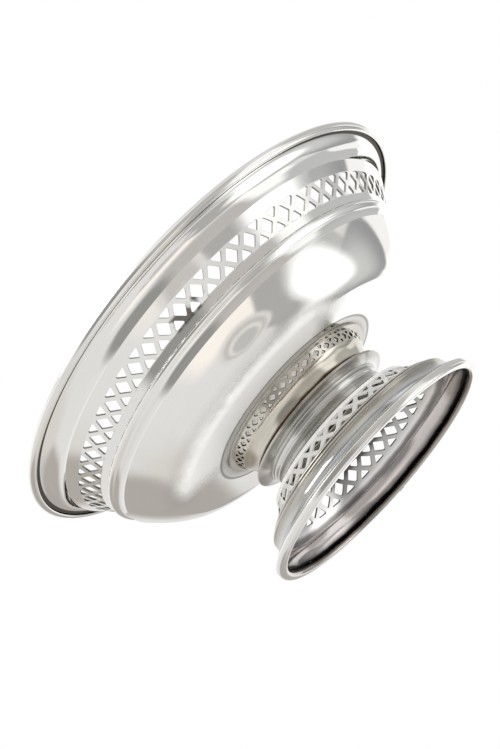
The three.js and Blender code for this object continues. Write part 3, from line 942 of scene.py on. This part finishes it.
# A pale dull coat round that joint, on one side of the dish, which paints a glow there: whole from the flange
# over a plateau, a share of its reach, and faded beyond. It covers unevenly, by a least and a share of a
# noise, and hides the metal.
PALE_COAT = (1, 0.99, 0.96, 1)
GLOW_REACH = 0.02
GLOW_PLATEAU = 0.65
GLOW_START = BOWL_UNDERSIDE - 0.0011
GLOW_FACING = (-0.5, -0.9)
GLOW_COVER = 1.1
GLOW_SHARE = 0.7
GLOW_LEAST = 0.65
GLOW_SIDE = math.radians(254)
GLOW_HALF_TURN = math.radians(52)
GLOW_TURN_FADE = 0.25
PALE_COAT_HIDES = 0.9

# A pale dull coat on the outward faces of the bars of the foot's lattice
BARS_FOOT = 0.0084
BARS_TOP = 0.0136
BARS_FADE = 0.0003
BARS_FACING = (0.2, 0.5)
BARS_COVER = 0.7


class Metal(Nodes):
    """The nodes of a piece's metal, with where a point lies on the dish and which way it faces."""

    def __init__(self, tree):
        super().__init__(tree)
        self.place = self.add("ShaderNodeTexCoord", output="Object")
        across, along, self.height = self.split(self.place)
        squares = self.math("POWER", across, 2), self.math("POWER", along, 2)
        self.radius = self.math("SQRT", self.math("ADD", *squares))
        self.beyond = self.math("SUBTRACT", self.radius, FLANGE_RADIUS)
        self.angle = self.math("ARCTAN2", along, across)
        facing_x, facing_y, self.upward = self.split(self.add("ShaderNodeTexCoord", output="Normal"))
        lean = self.math("ADD", self.product(facing_x, across), self.product(facing_y, along))
        self.outward = self.math("DIVIDE", lean, self.radius)
        self.down = self.ease(self.upward, *DOWN_FACING)

    def noise(self, kind, vector=None):
        """A noise over the piece, or along a vector of its own."""
        return self.add("ShaderNodeTexNoise", {
            "Vector": self.place if vector is None else vector, "Scale": kind.scale, "Detail": kind.detail,
            "Roughness": kind.roughness, "Distortion": kind.distortion})

    def patches(self, kind, vector=None):
        """A noise eased into patches."""
        return self.ease(self.noise(kind, vector), kind.low, kind.high)

    def hairlines(self, scale, thin, part):
        """Thin lines along a level of a noise, kept on part of the surface."""
        level = self.noise(Noise(scale, 1, distortion=SCRATCH_WANDER))
        off = self.math("ABSOLUTE", self.math("SUBTRACT", level, 0.5))
        kept = self.patches(Noise(scale * SCRATCH_PATCHES, 2, part, part + SCRATCH_FADE))
        return self.product(self.ease(off, thin, 0), kept)


def tinted(metal, colour, finish):
    """The colour with the tints of the outside and the painted shade and reflections of the inside, and how
    much is painted near black.
    """
    shift = metal.math("SUBTRACT", metal.noise(WANDER), 0.5)
    level = metal.math("MULTIPLY_ADD", shift, TINT_WANDER, metal.height)
    painted_dark = 0
    if finish.outside:
        tint = metal.mix(1, colour, metal.ramp(level, finish.outside), "MULTIPLY")
        colour = metal.mix(metal.ease(metal.outward, *OUTSIDE_FACING), colour, tint)
    # On what faces inwards, painted shade and reflections replace the colour
    if finish.inside:
        inside_paint = metal.ramp(level, finish.inside)
        within = metal.ease(metal.outward, *INSIDE_FACING)
        colour = metal.mix(within, colour, inside_paint)
        black = metal.ease(metal.add("ShaderNodeRGBToBW", {0: inside_paint}), *PAINTED_DARK_RANGE)
        painted_dark = metal.product(black, within)
    return colour, painted_dark


def bowl_tarnish_and_painted_dark(metal):
    """Black under the lip by the rim wire, tarnish with painted shade, and a painted dark reflection on the
    gallery.
    """
    lip = metal.ease(metal.radius, WIRE_INSIDE - SEAM_WIDTH - SEAM_FADE, WIRE_INSIDE - SEAM_WIDTH)
    off = metal.math("ABSOLUTE", metal.math("SUBTRACT", metal.angle, PATCH_SIDE))
    top = GALLERY_FOOT + PATCH_RISE
    patch = metal.product(
        metal.ease(off, PATCH_HALF_TURN * PATCH_SPREAD, PATCH_HALF_TURN),
        metal.patches(BLOTCHES),
        metal.ease(metal.height, GALLERY_FOOT - PATCH_FADE, GALLERY_FOOT),
        metal.ease(metal.height, top, top - PATCH_FADE),
        PATCH_COVER,
    )
    return metal.math("MAXIMUM", metal.product(lip, metal.down), patch)


def with_painted_flange_ring(metal, colour):
    """The colour with a grey ring by the collar's flange, a painted reflection of a wider flange, and its
    dark edge, a painted shadow line.
    """
    joint = metal.product(metal.ease(metal.height, JOINT_START, JOINT_FULL), metal.down)
    ring = metal.product(
        joint,
        metal.ease(metal.beyond, RING_WIDTH + RING_FADE, RING_WIDTH),
        metal.ease(metal.beyond, *COLLAR_SIDE),
        RING_COVER,
    )
    off = metal.math("ABSOLUTE", metal.math("SUBTRACT", metal.beyond, RING_WIDTH))
    edge = metal.product(joint, metal.ease(off, RING_EDGE, RING_EDGE / 2), RING_EDGE_COVER)
    return metal.mix(edge, metal.mix(ring, colour, FLANGE_REFLECTION_GREY), TARNISH_AND_SHADE)


def joint_glow(metal, on_bowl):
    """How thick the pale coat of the painted glow lies round the joint. The bowl has it inside the collar
    too.
    """
    turn = metal.math("WRAP", metal.math("SUBTRACT", metal.angle, GLOW_SIDE), math.pi, -math.pi)
    off = metal.math("ABSOLUTE", turn)
    near = metal.product(
        metal.ease(metal.beyond, GLOW_REACH, GLOW_REACH * GLOW_PLATEAU),
        metal.ease(metal.beyond, *COLLAR_SIDE),
        metal.ease(metal.height, GLOW_START, JOINT_FULL),
        metal.ease(off, GLOW_HALF_TURN + GLOW_TURN_FADE, GLOW_HALF_TURN - GLOW_TURN_FADE),
    )
    if on_bowl:
        near = metal.math("MAXIMUM", near, metal.ease(metal.beyond, *COLLAR_SIDE[::-1]))
    below = metal.product(metal.ease(metal.upward, *GLOW_FACING), GLOW_COVER)
    uneven = metal.math("MULTIPLY_ADD", metal.noise(RESIDUE), GLOW_SHARE, GLOW_LEAST)
    return metal.math("MULTIPLY", metal.product(near, below), uneven, clamp=True)


def bar_coat(metal):
    """How thick the pale coat lies on the bars of the foot's lattice."""
    return metal.product(
        metal.ease(metal.height, BARS_FOOT, BARS_FOOT + BARS_FADE),
        metal.ease(metal.height, BARS_TOP, BARS_TOP - BARS_FADE),
        metal.ease(metal.outward, *BARS_FACING),
        BARS_COVER,
    )


def silver_material(name, finish):
    """Silver that has been polished for a century: tarnish in its recesses, dull clouds, fine lines round
    the axis from the buff, wandering scratches, specks, dents, and a surface that isn't quite true."""
    material = bpy.data.materials.new(name)
    material.use_nodes = True
    metal = Metal(material.node_tree)
    around = metal.add("ShaderNodeCombineXYZ", {
        0: metal.radius, 1: metal.height, 2: metal.product(metal.angle, AROUND_STRETCH)})
    specks = metal.patches(SPECKS)
    scratches = metal.math(
        "MAXIMUM", metal.hairlines(*COARSE_SCRATCHES), metal.hairlines(*FINE_SCRATCHES))
    recess = metal.add("ShaderNodeAttribute", output="Fac", attribute_name="recess")
    uneven = metal.math("MULTIPLY_ADD", metal.noise(RECESS_UNEVENNESS), RECESS_SHARE, RECESS_LEAST)
    deep = metal.product(metal.ease(recess, *RECESS_RANGE), uneven)
    dark = metal.math("MULTIPLY", deep, finish.tarnish, clamp=True)
    dulled = metal.math("MULTIPLY_ADD", metal.patches(STREAKS, around), STREAK_SHARE, metal.patches(CLOUDS))
    dulled = metal.math("MULTIPLY", dulled, finish.dulled, clamp=True)
    # A pale dull coat: on the foot's bars, or round the joint as a painted glow
    pale_coat = bar_coat(metal) if finish.bars else joint_glow(metal, finish.bowl)

    dull = (*finish.dull, 1)
    colour = metal.mix(dulled, (*finish.clean, 1), dull)
    # Painted bands of shade and reflection by height, inside and out
    colour, painted_dark = tinted(metal, colour, finish)
    colour = metal.mix(metal.product(specks, SPECK_COVER), colour, dull)
    colour = metal.mix(dark, colour, TARNISH_AND_SHADE)
    if finish.bowl:
        # Tarnish and painted shade under the lip, and a painted dark reflection on the gallery
        black = bowl_tarnish_and_painted_dark(metal)
        colour = metal.mix(black, colour, TARNISH_AND_SHADE)
        dark = metal.math("MAXIMUM", dark, black)
    # The painted glow, then the flange's painted reflection and shadow line
    colour = with_painted_flange_ring(metal, metal.mix(pale_coat, colour, PALE_COAT))

    rough = finish.roughness
    for share, rougher in (
            (dulled, DULL_ROUGHNESS), (scratches, SCRATCH_ROUGHNESS), (dark, TARNISH_ROUGHNESS),
            (painted_dark, PAINTED_DARK_ROUGHNESS), (pale_coat, PALE_COAT_ROUGHNESS)):
        rough = metal.math("MULTIPLY_ADD", share, rougher, rough, clamp=True)
    metallic = metal.math("SUBTRACT", 1, metal.product(pale_coat, PALE_COAT_HIDES))

    relief = metal.product(metal.noise(WAVES), finish.wave)
    for share, height in (
            (metal.noise(DENTS), DENT_DEPTH), (metal.noise(BUFFING, around), LINE_HEIGHT * finish.lines),
            (scratches, -SCRATCH_DEPTH), (specks, -SPECK_DEPTH)):
        relief = metal.math("MULTIPLY_ADD", share, height, relief)
    bumped = metal.add("ShaderNodeBump", {"Height": relief, "Distance": 1, "Strength": 1})
    surface = metal.add("ShaderNodeBsdfPrincipled", {
        "Base Color": colour, "Metallic": metallic, "Roughness": rough, "Normal": bumped})
    metal.finish("ShaderNodeOutputMaterial", surface)
    return material


def dress(pieces):
    """Gives each piece a material of its own."""
    for name, piece in pieces.items():
        finish = FINISHES.get(name, SOLDER_FINISH)
        piece.data.materials.append(silver_material(name + "_silver", finish))


bpy.context.scene.view_settings.view_transform = "Standard"
add_camera()
dress(build_dish())
add_world()
add_floor()
add_lamp()
